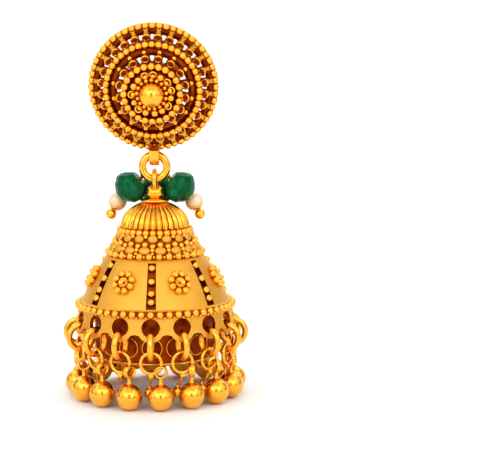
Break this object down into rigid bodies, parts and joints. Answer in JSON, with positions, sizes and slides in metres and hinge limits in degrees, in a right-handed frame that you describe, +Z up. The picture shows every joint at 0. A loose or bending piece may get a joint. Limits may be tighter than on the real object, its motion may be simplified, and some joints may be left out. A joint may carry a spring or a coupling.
{
  "type": "jhumka earring",
  "caption": "Gold jhumka drop earring: domed openwork stud, jump ring and hollow bell with green and pearl bead drops at its neck and a fringe of balls under its rim.",
  "frame": {"origin": "middle of the stud's back plane, where the ear post starts and the earlobe holds it", "axes": "+Z up as the earring hangs, -Y towards the front face, +X to the viewer's right"},
  "size_m": [0.0292, 0.0293, 0.058],
  "materials": {
    "polished_gold": "polished",
    "satin_gold": "satin",
    "green_stone": "polished",
    "pearl": "lustrous"
  },
  "bodies": {
    "stud": {"stud": "polished_gold", "ear_post": "polished_gold"},
    "ring": {"jump_ring": "polished_gold"},
    "bell": {"bell_finial": "polished_gold", "ribbed_cap": "polished_gold", "bell_body": "satin_gold", "inner_collar": "polished_gold", "bead_pin_left": "polished_gold", "bead_pin_right": "polished_gold", "bead_pin_rear": "polished_gold", "green_bead_left": "green_stone", "green_bead_right": "green_stone", "green_bead_rear": "green_stone", "pearl_left": "pearl", "pearl_right": "pearl", "pearl_rear": "pearl", "fringe_link_01": "polished_gold", "fringe_link_02": "polished_gold", "fringe_link_03": "polished_gold", "fringe_link_04": "polished_gold", "fringe_link_05": "polished_gold", "fringe_link_06": "polished_gold", "fringe_link_07": "polished_gold", "fringe_link_08": "polished_gold", "fringe_link_09": "polished_gold", "fringe_link_10": "polished_gold", "fringe_link_11": "polished_gold", "fringe_link_12": "polished_gold", "fringe_link_13": "polished_gold", "fringe_link_14": "polished_gold", "fringe_link_15": "polished_gold", "fringe_link_16": "polished_gold", "fringe_drop_01": "polished_gold", "fringe_drop_02": "polished_gold", "fringe_drop_03": "polished_gold", "fringe_drop_04": "polished_gold", "fringe_drop_05": "polished_gold", "fringe_drop_06": "polished_gold", "fringe_drop_07": "polished_gold", "fringe_drop_08": "polished_gold", "fringe_drop_09": "polished_gold", "fringe_drop_10": "polished_gold", "fringe_drop_11": "polished_gold", "fringe_drop_12": "polished_gold", "fringe_drop_13": "polished_gold", "fringe_drop_14": "polished_gold", "fringe_drop_15": "polished_gold", "fringe_drop_16": "polished_gold"}
  },
  "joints": [
    {"name": "ring_swing", "type": "hinge", "parent": "stud", "child": "ring", "pos_m": [0, 0.00046, -0.01069], "axis": [1, 0, 0], "range_deg": [-25, 25]},
    {"name": "bell_swing", "type": "hinge", "parent": "ring", "child": "bell", "pos_m": [0, 0.00046, -0.01259], "axis": [0, 1, 0], "range_deg": [-20, 20]}
  ]
}
